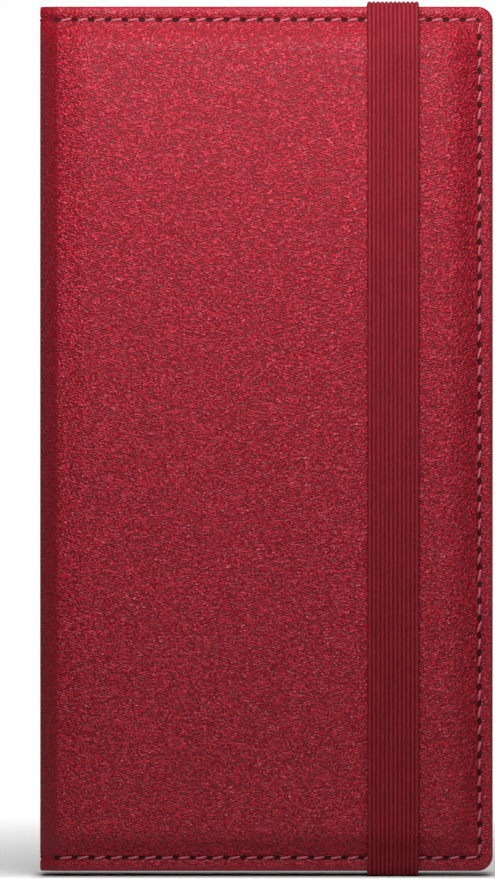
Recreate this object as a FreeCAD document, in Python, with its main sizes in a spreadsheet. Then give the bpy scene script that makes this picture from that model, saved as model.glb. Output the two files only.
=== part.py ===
import FreeCAD, Part
import os
import re
import Sketcher
from FreeCAD import Vector

# Pocket notebook with padded covers, a folded soft spine and an elastic closing strap.
# It stands on its bottom edge: +Z up, front cover towards -Y, spine towards -X.
# The origin is the middle of the bounding box in X and Y, at the level of the strap's underside.

doc = FreeCAD.newDocument("pocket_notebook")
sizes = doc.addObject("Spreadsheet::Sheet", "Sizes")

DRIVING = [
    ("cover_width", 88.0, "spine face to fore-edge"),
    ("cover_height", 168.0, "bottom edge to top edge of a cover"),
    ("corner_round", 3.0, "plan radius of the fore-edge corners"),
    ("skin_thick", 0.8, "one layer of outer skin"),
    ("foam_thick", 1.6, "padding under the skin"),
    ("board_thick", 1.2, "cover board"),
    ("lining_thick", 0.4, "inside lining"),
    ("seam_margin", 2.6, "cover edge to stitch line"),
    ("pad_inset", 3.2, "cover edge to foot of the padded slope"),
    ("pad_slope", 4.8, "plan width of the padded slope"),
    ("edge_round", 0.7, "rounding of the turned edge"),
    ("board_start", 1.0, "fold end to board and foam"),
    ("lining_inset", 0.6, "cover edge to lining"),
    ("board_fit", 0.1, "board to the wall of its pocket"),
    ("stitch_pitch", 3.3, "one stitch to the next"),
    ("stitch_length", 2.3, "visible thread of one stitch"),
    ("stitch_width", 0.5, "thread width"),
    ("stitch_thick", 0.35, "thread thickness"),
    ("groove_width", 0.6, "stitch groove"),
    ("groove_depth", 0.4, "stitch groove"),
    ("strap_width", 10.0, "elastic strap"),
    ("strap_thick", 1.0, "elastic strap"),
    ("strap_centre", 68.6, "spine face to strap centre line"),
    ("strap_round", 0.8, "strap bend over the cover edges"),
    ("strap_clear", 0.05, "strap to front cover"),
    ("tail_length", 8.0, "strap end held beyond the seam margin"),
    ("tail_fit", 0.1, "strap end to the sides of its slot"),
    ("page_inset", 4.0, "page edge inside the cover edge, head and foot"),
    ("fore_inset", 3.2, "page edge inside the cover edge, fore side"),
    ("page_round", 3.0, "plan radius of the page corners"),
    ("signature_thick", 1.14, "one sewn signature of twelve leaves"),
    ("signature_round", 0.45, "rounding of a signature at its fold"),
    ("leaf_thick", 0.1, "one loose-turning leaf"),
    ("leaf_gap", 0.02, "air between leaves"),
    ("flyleaf_thick", 0.15, "flyleaf"),
    ("page_clear", 0.1, "front flyleaf to front lining"),
    ("spine_clear", 0.6, "spine lining to the glued back of the block"),
    ("thread_thick", 0.15, "sewing thread"),
    ("mull_thick", 0.2, "open cloth glued to the back of the block"),
    ("kraft_thick", 0.15, "paper glued over the mull"),
    ("mull_inset", 6.0, "page edge to the end of the mull"),
    ("station_width", 1.2, "sewing thread width at one station"),
]

DERIVED = [
    ("cover_thick", "=skin_thick + foam_thick + board_thick + lining_thick", "padded cover"),
    ("margin_thick", "=2 * skin_thick", "skin turned over itself along the edge"),
    ("crown_height", "=skin_thick + foam_thick + board_thick", "lining to crown"),
    ("fold_round", "=crown_height", "outer radius of the folds, centred on the lining"),
    ("skin_width", "=cover_width - fold_round", "fold end to fore-edge"),
    ("board_width", "=skin_width - board_start - pad_inset - board_fit", "board"),
    ("board_height", "=cover_height - 2 * (pad_inset + board_fit)", "board"),
    ("foam_slope", "=pad_slope - 0.4", "plan width of the slope under the skin"),
    ("groove_near", "=seam_margin - groove_width / 2", "edge to near side of the groove"),
    ("groove_far", "=seam_margin + groove_width / 2", "edge to far side of the groove"),
    ("middle_gap", "=1.5 * leaf_thick + 2 * leaf_gap", "mid-plane to nearest signature"),
    ("block_half", "=4 * signature_thick + flyleaf_thick + middle_gap", "half the block"),
    ("mid_level", "=(page_clear + strap_thick + strap_clear) / 2", "y of the mid-plane"),
    ("front_inner", "=mid_level - block_half - page_clear", "y of the front lining"),
    ("back_inner", "=mid_level + block_half", "y of the back lining"),
    ("front_face", "=front_inner - cover_thick", "y of the front crown"),
    ("back_face", "=back_inner + cover_thick", "y of the back crown"),
    ("left_face", "=-cover_width / 2", "x of the spine face"),
    ("fold_end", "=left_face + fold_round", "x where the folds meet the covers"),
    ("spine_depth", "=back_face - front_face - 2 * fold_round", "flat of the spine"),
    ("spine_inner", "=left_face + margin_thick + lining_thick", "x of the spine lining face"),
    ("kraft_left", "=spine_inner + spine_clear", "x of the kraft paper"),
    ("mull_left", "=kraft_left + kraft_thick", "x of the mull"),
    ("thread_left", "=mull_left + mull_thick", "x of the sewing thread"),
    ("page_left", "=thread_left + thread_thick", "x of the signature folds"),
    ("page_width", "=cover_width / 2 - fore_inset - page_left", "page"),
    ("page_height", "=cover_height - 2 * page_inset", "page"),
    ("page_bottom", "=strap_thick + page_inset", "z of the page foot"),
    ("strap_left", "=left_face + strap_centre - strap_width / 2", "x of the strap"),
    ("strap_local", "=strap_left - fold_end", "strap edge from the fold end"),
    ("leg_front", "=front_face - strap_clear - strap_thick", "y of the strap's outer face"),
    ("leg_back", "=back_inner + lining_thick + strap_thick", "y where the strap enters the seam"),
]

FRONT = -1
BACK = 1


def formula(text):
    """The expression with every name read from the sheet."""
    return re.sub(r"[a-z]\w*", lambda word: "Sizes." + word.group(0), text)


def number(text):
    """The present value of an expression in millimetres."""
    return float(sizes.evalExpression(formula(text)))


def fill_sheet():
    for row, (alias, value, note) in enumerate(DRIVING + DERIVED, start=1):
        sizes.set(f"A{row}", alias)
        sizes.set(f"B{row}", str(value))
        sizes.setAlias(f"B{row}", alias)
        sizes.set(f"C{row}", note)
    doc.recompute()


def bind(obj, prop, text):
    obj.setExpression(prop, formula(text))


def place(obj, x, y, z):
    for axis, text in (("x", x), ("y", y), ("z", z)):
        bind(obj, "Placement.Base." + axis, text)


def new_body(label):
    body = doc.addObject("PartDesign::Body", label)
    body.Label = label
    return body


def rectangle(left, bottom, right, top):
    return [(left, bottom), (right, bottom), (right, top), (left, top)]


def draw_loop(sketch, corners):
    """A closed polygon whose corners are held to the sketch origin by sheet expressions."""
    first = sketch.GeometryCount
    count = len(corners)
    points = [Vector(number(u), number(v), 0) for u, v in corners]
    for i in range(count):
        sketch.addGeometry(Part.LineSegment(points[i], points[(i + 1) % count]), False)
    for i in range(count):
        following = first + (i + 1) % count
        sketch.addConstraint(Sketcher.Constraint("Coincident", first + i, 2, following, 1))
    for i, corner in enumerate(corners):
        for kind, value, text in zip(("DistanceX", "DistanceY"), points[i], corner):
            held = Sketcher.Constraint(kind, -1, 1, first + i, 1, value)
            index = sketch.addConstraint(held)
            bind(sketch, f"Constraints[{index}]", text)


def new_sketch(body, name, loops, role="XZ_Plane", offset="0"):
    sketch = body.newObject("Sketcher::SketchObject", name)
    plane = next(f for f in body.Origin.OriginFeatures if f.Role == role)
    sketch.AttachmentSupport = (plane, [""])
    sketch.MapMode = "FlatFace"
    bind(sketch, "AttachmentOffset.Base.z", offset)
    for corners in loops:
        draw_loop(sketch, corners)
    return sketch


def pad(body, name, sketch, length, backwards=False):
    feature = body.newObject("PartDesign::Pad", name)
    feature.Profile = sketch
    feature.Reversed = backwards
    bind(feature, "Length", length)
    return feature


def pocket(body, name, sketch, length, backwards=False):
    feature = body.newObject("PartDesign::Pocket", name)
    feature.Profile = sketch
    feature.Reversed = backwards
    bind(feature, "Length", length)
    return feature


def loft(body, kind, name, lower, upper):
    feature = body.newObject("PartDesign::" + kind, name)
    feature.Profile = lower
    feature.Sections = [upper]
    feature.Ruled = True
    return feature


def fillet(body, name, base, radius, chosen):
    """Rounds the edges of the base feature that the test picks."""
    doc.recompute()
    edges = [f"Edge{i}" for i, e in enumerate(base.Shape.Edges, start=1) if chosen(e)]
    feature = body.newObject("PartDesign::Fillet", name)
    feature.Base = (base, edges)
    bind(feature, "Radius", radius)
    return feature


def lies_at(edge, axis, level):
    """True if both ends and the middle of the edge have this coordinate."""
    middle = edge.valueAt((edge.FirstParameter + edge.LastParameter) / 2)
    points = [vertex.Point for vertex in edge.Vertexes] + [middle]
    return all(abs(getattr(point, axis) - level) < 1e-5 for point in points)


def cross_edge(edge, level):
    """True for a straight edge through the sheet's thickness at this x."""
    return lies_at(edge, "x", level) and not lies_at(edge, "y", edge.Vertexes[0].Y)


def outward(side, text):
    """A sketch offset measured away from the pages, for the front or the back cover."""
    return text if side == FRONT else f"-({text})"


def inner_level(side, height):
    """The y of a level inside a cover, by its height over the inner face."""
    if side == FRONT:
        return f"front_inner - ({height})"
    return f"back_inner + {height}"


def cover_name(side, piece):
    return ("front_cover_" if side == FRONT else "back_cover_") + piece


def inset_loop(inset, right_inset):
    """A rectangle of the skin's plan, open to the fold and inset on the other three sides."""
    return rectangle("0", inset, f"skin_width - ({right_inset})", f"cover_height - ({inset})")


def groove_loop():
    """The plan of the stitch groove along head, fore-edge and foot."""
    return [
        ("0", "groove_near"),
        ("skin_width - groove_near", "groove_near"),
        ("skin_width - groove_near", "cover_height - groove_near"),
        ("0", "cover_height - groove_near"),
        ("0", "cover_height - groove_far"),
        ("skin_width - groove_far", "cover_height - groove_far"),
        ("skin_width - groove_far", "groove_far"),
        ("0", "groove_far"),
    ]


def strap_slots(depth):
    """Two openings for the strap ends, from the head and the foot inwards."""
    left = "strap_local - tail_fit"
    right = "strap_local + strap_width + tail_fit"
    return [
        rectangle(left, "0", right, depth),
        rectangle(left, f"cover_height - ({depth})", right, "cover_height"),
    ]


def make_cover_skin(side):
    """Padded outer skin: a thin turned margin all round and a raised crown with sloping sides."""
    body = new_body(cover_name(side, "skin"))
    back = side == BACK
    plan = new_sketch(body, "margin_plan", [inset_loop("0", "0")])
    margin = pad(body, "margin", plan, "margin_thick", back)
    corners = fillet(
        body, "corners", margin, "corner_round", lambda e: cross_edge(e, number("skin_width"))
    )
    top = side * number("margin_thick")
    edges = fillet(
        body,
        "turned_edge",
        corners,
        "edge_round",
        lambda e: lies_at(e, "y", top) and not lies_at(e, "x", 0.0),
    )
    body.Tip = edges
    foot = new_sketch(
        body,
        "crown_foot",
        [inset_loop("pad_inset", "pad_inset")],
        offset=outward(side, "margin_thick"),
    )
    crown = new_sketch(
        body,
        "crown_top",
        [inset_loop("pad_inset + pad_slope", "pad_inset + pad_slope")],
        offset=outward(side, "crown_height"),
    )
    loft(body, "AdditiveLoft", "crown", foot, crown)
    board_plan = new_sketch(body, "board_plan", [inset_loop("pad_inset", "pad_inset")])
    pocket(body, "board_pocket", board_plan, "board_thick", side == FRONT)
    low = "pad_inset + 2 * board_fit"
    high = "pad_inset + 2 * board_fit + foam_slope"
    foam_foot = new_sketch(
        body, "foam_foot", [inset_loop(low, low)], offset=outward(side, "board_thick")
    )
    foam_top = new_sketch(
        body,
        "foam_top",
        [inset_loop(high, high)],
        offset=outward(side, "board_thick + foam_thick"),
    )
    loft(body, "SubtractiveLoft", "foam_pocket", foam_foot, foam_top)
    groove = new_sketch(
        body, "groove_plan", [groove_loop()], offset=outward(side, "margin_thick")
    )
    pocket(body, "stitch_groove", groove, "groove_depth", back)
    if back:
        slots = new_sketch(body, "strap_slot_plan", strap_slots("pad_inset + board_fit"))
        pocket(body, "strap_slots", slots, "strap_thick")
    place(body, "fold_end", inner_level(side, "lining_thick"), "strap_thick")


def make_cover_foam(side):
    """Padding: a low frustum that fills the raised part of the skin."""
    body = new_body(cover_name(side, "foam"))
    low = "2 * board_fit"
    width = "board_width + board_fit"
    foot = new_sketch(
        body,
        "foot",
        [rectangle("0", low, f"{width} - ({low})", f"cover_height - 2 * pad_inset - {low}")],
    )
    high = "2 * board_fit + foam_slope"
    top = new_sketch(
        body,
        "top",
        [rectangle("0", high, f"{width} - ({high})", f"cover_height - 2 * pad_inset - ({high})")],
        offset=outward(side, "foam_thick"),
    )
    loft(body, "AdditiveLoft", "padding", foot, top)
    level = inner_level(side, "lining_thick + board_thick")
    place(body, "fold_end + board_start", level, "strap_thick + pad_inset")


def make_cover_board(side):
    """Stiff board; the back one has a notch at head and foot for the strap ends."""
    body = new_body(cover_name(side, "board"))
    plan = new_sketch(body, "plan", [rectangle("0", "0", "board_width", "board_height")])
    sheet = pad(body, "sheet", plan, "board_thick", side == BACK)
    fillet(body, "corners", sheet, "board_start", lambda e: cross_edge(e, number("board_width")))
    if side == BACK:
        left = "strap_local - board_start - tail_fit"
        right = "strap_local - board_start + strap_width + tail_fit"
        depth = "tail_length + tail_fit"
        loops = [
            rectangle(left, "0", right, depth),
            rectangle(left, f"board_height - ({depth})", right, "board_height"),
        ]
        notches = new_sketch(body, "notch_plan", loops)
        pocket(body, "strap_notches", notches, "board_thick")
    level = inner_level(side, "lining_thick")
    place(body, "fold_end + board_start", level, "strap_thick + pad_inset + board_fit")


def make_cover_lining(side):
    """Thin inside lining, a little smaller than the cover."""
    body = new_body(cover_name(side, "lining"))
    right = "skin_width - lining_inset"
    plan = new_sketch(
        body, "plan", [rectangle("0", "0", right, "cover_height - 2 * lining_inset")]
    )
    sheet = pad(body, "sheet", plan, "lining_thick", side == BACK)
    radius = "corner_round - lining_inset"
    fillet(body, "corners", sheet, radius, lambda e: cross_edge(e, number(right)))
    place(body, "fold_end", inner_level(side, "0"), "strap_thick + lining_inset")


def spread(start, end, pitch):
    """Evenly spaced positions from start to end, about one pitch apart."""
    gaps = max(1, round((end - start) / pitch))
    return [start + (end - start) * i / gaps for i in range(gaps + 1)]


def group(label, solids, x, y, z):
    """Small identical solids kept together as one sub-part."""
    feature = doc.addObject("Part::Feature", label)
    feature.Label = label
    feature.Shape = Part.makeCompound(solids)
    place(feature, x, y, z)


def block_at(centre, size):
    """A small box of this size about a centre."""
    corner = centre - size * 0.5
    return Part.makeBox(size.x, size.y, size.z, corner)


def make_cover_stitching(side):
    """One visible thread for each stitch, lying in the groove of the skin."""
    margin = number("seam_margin")
    pitch = number("stitch_pitch")
    length = number("stitch_length")
    width = number("stitch_width")
    thick = number("stitch_thick")
    level = side * (number("margin_thick - groove_depth") + thick / 2)
    right = number("skin_width") - margin
    top = number("cover_height") - margin
    along = Vector(length, thick, width)
    upright = Vector(width, thick, length)
    solids = []
    for x in spread(pitch / 2, right - pitch / 2, pitch):
        solids.append(block_at(Vector(x, level, margin), along))
        solids.append(block_at(Vector(x, level, top), along))
    for z in spread(margin + pitch / 2, top - pitch / 2, pitch):
        solids.append(block_at(Vector(right, level, z), upright))
    y = inner_level(side, "lining_thick")
    group(cover_name(side, "stitching"), solids, "fold_end", y, "strap_thick")


def new_cylinder(name, radius, height, turn, x, y, z):
    """A quarter of a cylinder about a vertical axis."""
    solid = doc.addObject("Part::Cylinder", name)
    solid.Angle = 90
    bind(solid, "Radius", radius)
    bind(solid, "Height", height)
    solid.Placement.Rotation = FreeCAD.Rotation(Vector(0, 0, 1), turn)
    place(solid, x, y, z)
    return solid


def new_box(name, length, width, height, x, y, z):
    solid = doc.addObject("Part::Box", name)
    bind(solid, "Length", length)
    bind(solid, "Width", width)
    bind(solid, "Height", height)
    place(solid, x, y, z)
    return solid


def make_fold_skin(side):
    """Soft fold between a cover and the spine: a quarter tube with a thinner turned end."""
    label = "front_fold_skin" if side == FRONT else "back_fold_skin"
    turn = 180 if side == FRONT else 90
    axis_y = "front_face + fold_round" if side == FRONT else "back_face - fold_round"
    height = "cover_height - 2 * pad_inset"
    base = "strap_thick + pad_inset"
    outer = new_cylinder(label + "_outer", "fold_round", height, turn, "fold_end", axis_y, base)
    bore = "fold_round - skin_thick"
    inner = new_cylinder(label + "_bore", bore, height, turn, "fold_end", axis_y, base)
    tube = doc.addObject("Part::Cut", label + "_tube")
    tube.Base = outer
    tube.Tool = inner
    pieces = [tube]
    drop = "cover_thick - lining_thick - margin_thick"
    for end, z in (("foot", "strap_thick"), ("head", "strap_thick + cover_height - pad_inset")):
        x = f"fold_end - ({drop})"
        radius = f"fold_round - ({drop})"
        name = f"{label}_{end}"
        pieces.append(new_cylinder(name + "_bend", radius, "pad_inset", turn, x, axis_y, z))
        y = f"{axis_y} - ({radius})" if side == FRONT else axis_y
        pieces.append(new_box(name + "_flat", drop, radius, "pad_inset", x, y, z))
    skin = doc.addObject("Part::MultiFuse", label)
    skin.Label = label
    skin.Shapes = pieces


def make_spine_skin():
    """Outer skin of the spine, turned over itself at head and foot."""
    body = new_body("spine_skin")
    plan = new_sketch(
        body, "plan", [rectangle("0", "0", "spine_depth", "cover_height")], role="YZ_Plane"
    )
    pad(body, "sheet", plan, "margin_thick")
    window = new_sketch(
        body,
        "stiffener_plan",
        [rectangle("0", "pad_inset", "spine_depth", "cover_height - pad_inset")],
        role="YZ_Plane",
        offset="margin_thick",
    )
    pocket(body, "stiffener_pocket", window, "margin_thick - skin_thick")
    rows = [
        rectangle("0", "groove_near", "spine_depth", "groove_far"),
        rectangle("0", "cover_height - groove_far", "spine_depth", "cover_height - groove_near"),
    ]
    grooves = new_sketch(body, "groove_plan", rows, role="YZ_Plane")
    pocket(body, "stitch_grooves", grooves, "groove_depth", True)
    place(body, "left_face", "front_face + fold_round", "strap_thick")


def make_spine_inside():
    """Stiffener and lining behind the spine skin."""
    depth = "spine_depth - 2 * board_fit"
    y = "front_face + fold_round + board_fit"
    new_box(
        "spine_stiffener",
        "margin_thick - skin_thick",
        depth,
        "board_height",
        "left_face + skin_thick",
        y,
        "strap_thick + pad_inset + board_fit",
    )
    new_box(
        "spine_lining",
        "lining_thick",
        depth,
        "cover_height - 2 * lining_inset",
        "left_face + margin_thick",
        y,
        "strap_thick + lining_inset",
    )


def make_spine_stitching():
    """The stitch rows carried across the spine at head and foot."""
    margin = number("seam_margin")
    pitch = number("stitch_pitch")
    thick = number("stitch_thick")
    depth = number("spine_depth")
    size = Vector(thick, number("stitch_length"), number("stitch_width"))
    x = number("groove_depth") - thick / 2
    solids = []
    for y in spread(pitch / 2, depth - pitch / 2, pitch):
        for z in (margin, number("cover_height") - margin):
            solids.append(block_at(Vector(x, y, z), size))
    group("spine_stitching", solids, "left_face", "front_face + fold_round", "strap_thick")


def make_strap():
    """Elastic strap: the run down the front and its two ends inside the back cover's seam."""
    new_box(
        "strap_run",
        "strap_width",
        "strap_thick",
        "cover_height",
        "strap_left",
        "leg_front",
        "strap_thick",
    )
    height = "pad_inset + board_fit + tail_length"
    y = "back_inner + lining_thick"
    foot = "strap_thick"
    head = f"strap_thick + cover_height - ({height})"
    for label, z in (("strap_tail_bottom", foot), ("strap_tail_top", head)):
        new_box(label, "strap_width", "strap_thick", height, "strap_left", y, z)


def make_strap_leg(label, z, outer_level):
    """The strap where it crosses the page block, rounded where it turns down the front."""
    body = new_body(label)
    plan = new_sketch(
        body, "plan", [rectangle("0", "0", "leg_back - leg_front", "strap_thick")], role="YZ_Plane"
    )
    band = pad(body, "band", plan, "strap_width")
    level = number(outer_level)
    fillet(
        body,
        "bend",
        band,
        "strap_round",
        lambda e: lies_at(e, "y", 0.0) and lies_at(e, "z", level),
    )
    place(body, "strap_left", "leg_front", z)


def make_sheet(label, thick, fold_round, y):
    """A page-sized sheet or signature with rounded fore-edge corners."""
    body = new_body(label)
    plan = new_sketch(body, "plan", [rectangle("0", "0", "page_width", "page_height")])
    sheet = pad(body, "sheet", plan, thick, True)
    corners = fillet(
        body, "corners", sheet, "page_round", lambda e: cross_edge(e, number("page_width"))
    )
    if fold_round:
        far = number(thick)
        fillet(
            body,
            "fold",
            corners,
            fold_round,
            lambda e: lies_at(e, "x", 0.0) and (lies_at(e, "y", 0.0) or lies_at(e, "y", far)),
        )
    place(body, "page_left", y, "page_bottom")


def make_block():
    """Eight sewn signatures, three free leaves in the middle and a flyleaf on each side."""
    for i in range(4):
        front = f"mid_level - middle_gap - {4 - i} * signature_thick"
        make_sheet(f"signature_{i + 1}", "signature_thick", "signature_round", front)
        back = f"mid_level + middle_gap + {i} * signature_thick"
        make_sheet(f"signature_{i + 5}", "signature_thick", "signature_round", back)
    for i in range(3):
        level = f"mid_level - leaf_thick / 2 + {i - 1} * (leaf_thick + leaf_gap)"
        make_sheet(f"leaf_{i + 1}", "leaf_thick", None, level)
    make_sheet("front_flyleaf", "flyleaf_thick", None, "mid_level - block_half")
    make_sheet("back_flyleaf", "flyleaf_thick", None, "mid_level + block_half - flyleaf_thick")


def make_block_back():
    """Thread, mull and kraft paper on the back of the sewn signatures."""
    depth = number("2 * block_half - 2 * flyleaf_thick")
    size = Vector(number("thread_thick"), depth, number("station_width"))
    height = number("page_height")
    solids = []
    for z in spread(height / 8, height - height / 8, height / 7):
        solids.append(block_at(Vector(size.x / 2, depth / 2, z), size))
    y = "mid_level - block_half + flyleaf_thick"
    group("sewing_thread", solids, "thread_left", y, "page_bottom")
    layers = (
        ("spine_mull", "mull_thick", "mull_left", "mull_inset"),
        ("spine_kraft", "kraft_thick", "kraft_left", "mull_inset / 2"),
    )
    for label, thick, x, inset in layers:
        tall = f"page_height - 2 * ({inset})"
        z = f"page_bottom + {inset}"
        new_box(label, thick, "2 * block_half", tall, x, "mid_level - block_half", z)


def sub_parts():
    """The top-level shapes, one for each separate piece."""
    kinds = ("PartDesign::Body", "Part::Box", "Part::MultiFuse", "Part::Feature")
    inner = ("_flat",)
    return [o for o in doc.Objects if o.TypeId in kinds and not o.Label.endswith(inner)]


def check_and_export():
    for obj in doc.Objects:
        if "Invalid" in obj.State or "Error" in obj.State:
            raise RuntimeError(f"{obj.Label}: {obj.State}")
    os.makedirs("parts", exist_ok=True)
    for obj in sub_parts():
        if obj.Shape.isNull() or not obj.Shape.isValid():
            raise RuntimeError(f"{obj.Label}: bad shape")
        obj.Shape.exportStep(f"parts/{obj.Label}.step")


fill_sheet()
for cover_side in (FRONT, BACK):
    make_cover_skin(cover_side)
    make_cover_foam(cover_side)
    make_cover_board(cover_side)
    make_cover_lining(cover_side)
    make_cover_stitching(cover_side)
    make_fold_skin(cover_side)
make_spine_skin()
make_spine_inside()
make_spine_stitching()
make_strap()
make_strap_leg("strap_leg_bottom", "0", "0")
make_strap_leg("strap_leg_top", "strap_thick + cover_height", "strap_thick")
make_block()
make_block_back()
doc.recompute()
check_and_export()
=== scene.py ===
import math

import bmesh
import bpy
import numpy as np
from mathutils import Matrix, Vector


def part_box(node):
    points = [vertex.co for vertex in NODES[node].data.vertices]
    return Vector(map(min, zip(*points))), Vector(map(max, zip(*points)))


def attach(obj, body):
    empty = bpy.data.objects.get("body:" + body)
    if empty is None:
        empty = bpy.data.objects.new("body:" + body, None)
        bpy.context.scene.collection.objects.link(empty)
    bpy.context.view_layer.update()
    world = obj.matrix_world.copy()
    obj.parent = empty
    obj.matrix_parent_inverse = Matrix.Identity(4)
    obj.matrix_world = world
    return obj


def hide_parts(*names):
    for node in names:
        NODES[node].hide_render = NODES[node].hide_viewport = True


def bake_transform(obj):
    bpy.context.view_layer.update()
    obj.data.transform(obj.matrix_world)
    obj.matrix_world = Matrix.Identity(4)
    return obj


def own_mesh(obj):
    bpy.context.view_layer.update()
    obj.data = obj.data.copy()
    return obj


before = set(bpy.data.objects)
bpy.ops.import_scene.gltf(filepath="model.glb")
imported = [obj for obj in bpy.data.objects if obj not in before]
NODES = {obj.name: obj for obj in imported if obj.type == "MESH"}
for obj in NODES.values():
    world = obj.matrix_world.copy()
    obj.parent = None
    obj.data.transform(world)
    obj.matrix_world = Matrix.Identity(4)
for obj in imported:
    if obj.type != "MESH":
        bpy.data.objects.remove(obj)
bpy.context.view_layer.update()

MM = 0.001


# ---------------------------------------------------------------- sizes from the frame, in mm


def node_box(name):
    """Lowest and highest corner of a CAD node in millimetres."""
    low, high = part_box(name)
    return np.array(low) / MM, np.array(high) / MM


FRONT, BACK = -1, 1
SKIN_LOW, SKIN_HIGH = node_box("front_cover_skin")
BACK_LOW, _ = node_box("back_cover_skin")
RUN_LOW, RUN_HIGH = node_box("strap_run")

LEFT = node_box("front_fold_skin")[0][0]
RIGHT = SKIN_HIGH[0]
FOOT, HEAD = SKIN_LOW[2], SKIN_HIGH[2]
FOLD_END = SKIN_LOW[0]
LINING = {FRONT: SKIN_HIGH[1], BACK: BACK_LOW[1]}
MIDDLE = (LINING[FRONT] + LINING[BACK]) / 2
CROWN = SKIN_HIGH[1] - SKIN_LOW[1]

MARGIN = 1.6  # thickness of the sewn margin
EDGE = 0.8  # radius of the turned edge
RIM_SPAN = 1.2  # running distance given to the half circle of the turned edge
SHEET = 0.8  # thickness of the skin over the pad
CORNER = 3.0  # radius of the cover's corners in plan
SEAM = 2.6  # distance of the stitches from the edge
SLOPE_FOOT = 3.3  # where the pad's slope starts, from the edge
SLOPE_TOP = 8.6  # where it ends
PITCH = 3.3  # one stitch
BOARD_TOP = 1.2  # thickness of the board
CROWN_LOSS = 0.12  # kept free above the skin for the pad's lift
CREASE = 0.75  # share of the fold that is a straight slope
SPINE_EDGE = 0.35  # how far the spine's ends are drawn in, as a share of the fold's drop
LINING_SHEET = 0.2  # thickness of the lining
LINING_EDGE = 0.7  # how far the lining stays inside the cover's edge
GRAIN_DEPTH = 0.00028


# ---------------------------------------------------------------- mesh helpers


def new_piece(name, points, quads, uv=None, smooth=True, marks=None):
    """A mesh object from points in millimetres and four-cornered faces."""
    mesh = bpy.data.meshes.new(name)
    points = np.asarray(points, float) * MM
    quads = np.asarray(quads, np.int64).reshape(-1, 4)
    mesh.vertices.add(len(points))
    mesh.vertices.foreach_set("co", points.ravel())
    mesh.loops.add(quads.size)
    mesh.loops.foreach_set("vertex_index", quads.ravel())
    mesh.polygons.add(len(quads))
    mesh.polygons.foreach_set("loop_start", np.arange(0, quads.size, 4))
    mesh.update(calc_edges=True)
    mesh.validate()
    mesh.polygons.foreach_set("use_smooth", np.full(len(mesh.polygons), smooth))
    if uv is not None:
        layer = mesh.uv_layers.new(name="along")
        index = np.empty(len(mesh.loops), np.int64)
        mesh.loops.foreach_get("vertex_index", index)
        layer.data.foreach_set("uv", np.asarray(uv, float)[index].ravel())
    for label, values in (marks or {}).items():
        layer = mesh.attributes.new(label, "FLOAT", "POINT")
        layer.data.foreach_set("value", np.asarray(values, np.float32).ravel())
    obj = bpy.data.objects.new(name, mesh)
    bpy.context.scene.collection.objects.link(obj)
    return obj


def grid_quads(rows, cols, start=0, flip=False, wrap=False):
    """Faces of a grid of rows by cols points; wrap joins the last column to the first."""
    r = np.arange(rows - 1)[:, None]
    c = np.arange(cols if wrap else cols - 1)[None, :]
    d = (c + 1) % cols
    quads = np.stack([r * cols + c, r * cols + d, (r + 1) * cols + d, (r + 1) * cols + c], -1)
    quads = quads.reshape(-1, 4) + start
    return quads[:, ::-1] if flip else quads


def outward(obj):
    """Merges doubles, then turns every face to point out of the closed shape."""
    work = bmesh.new()
    work.from_mesh(obj.data)
    bmesh.ops.remove_doubles(work, verts=work.verts, dist=1e-7)
    bmesh.ops.recalc_face_normals(work, faces=work.faces)
    work.to_mesh(obj.data)
    work.free()
    return obj


def closed_shell(name, outer, inner, uv=None, marks=None):
    """Two grids of the same size joined along their four borders."""
    rows, cols = outer.shape[:2]
    count = rows * cols
    index = np.arange(count).reshape(rows, cols)
    border = np.concatenate([index[0, :-1], index[:-1, -1], index[-1, :0:-1], index[:0:-1, 0]])
    after = np.roll(border, -1)
    rim = np.stack([after, border, border + count, after + count], -1)
    quads = np.concatenate(
        [grid_quads(rows, cols), grid_quads(rows, cols, count, flip=True), rim]
    )
    points = np.concatenate([outer.reshape(-1, 3), inner.reshape(-1, 3)])
    if uv is not None:
        uv = np.concatenate([uv.reshape(-1, 2), uv.reshape(-1, 2)])
    marks = {k: np.concatenate([v.ravel(), v.ravel()]) for k, v in (marks or {}).items()}
    return outward(new_piece(name, points, quads, uv, marks=marks))


def side_name(side, rest):
    """The name of a node or body on the front or the back."""
    return ("front_" if side == FRONT else "back_") + rest


def read_points(obj):
    flat = np.empty(len(obj.data.vertices) * 3)
    obj.data.vertices.foreach_get("co", flat)
    return flat.reshape(-1, 3) / MM


def smooth_step(t):
    t = np.clip(t, 0, 1)
    return t * t * (3 - 2 * t)


# ---------------------------------------------------------------- padded covers

def inset_of(q):
    """Distance in from the plan edge for the running distance q, which starts on the inner
    side of the turned edge, goes half a circle round it and on across the margin."""
    turn = np.pi * np.clip(q / RIM_SPAN, 0, 1)
    rim = EDGE - EDGE * np.sin(turn)
    across = EDGE + (q - RIM_SPAN) * (CORNER - EDGE) / (CORNER - RIM_SPAN)
    return np.where(q < RIM_SPAN, rim, np.where(q < CORNER, across, q))


def rim_height(q):
    """Height over the lining round the turned edge: half a circle, then the margin's level."""
    turn = np.pi * np.clip(q / RIM_SPAN, 0, 1)
    return (MARGIN / 2) * (1 - np.cos(turn))


def seam_dip(inset):
    """The channel pulled down by the stitches, and the low swell on each side of it."""
    near = np.exp(-(((inset - SEAM) / 0.55) ** 2))
    swell = np.exp(-(((inset - SEAM + 1.2) / 0.6) ** 2))
    return -0.24 * near + 0.08 * swell


def pad_slope(inset):
    """Rise of the pad from 0 at its foot to 1 at its top, steep at first and then easing."""
    t = np.clip((inset - SLOPE_FOOT + 0.3) / (SLOPE_TOP - SLOPE_FOOT), 0, 1)
    return 0.4 * smooth_step(t) + 0.6 * smooth_step(0.12 + 0.88 * (1 - (1 - t) ** 1.7))


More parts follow.
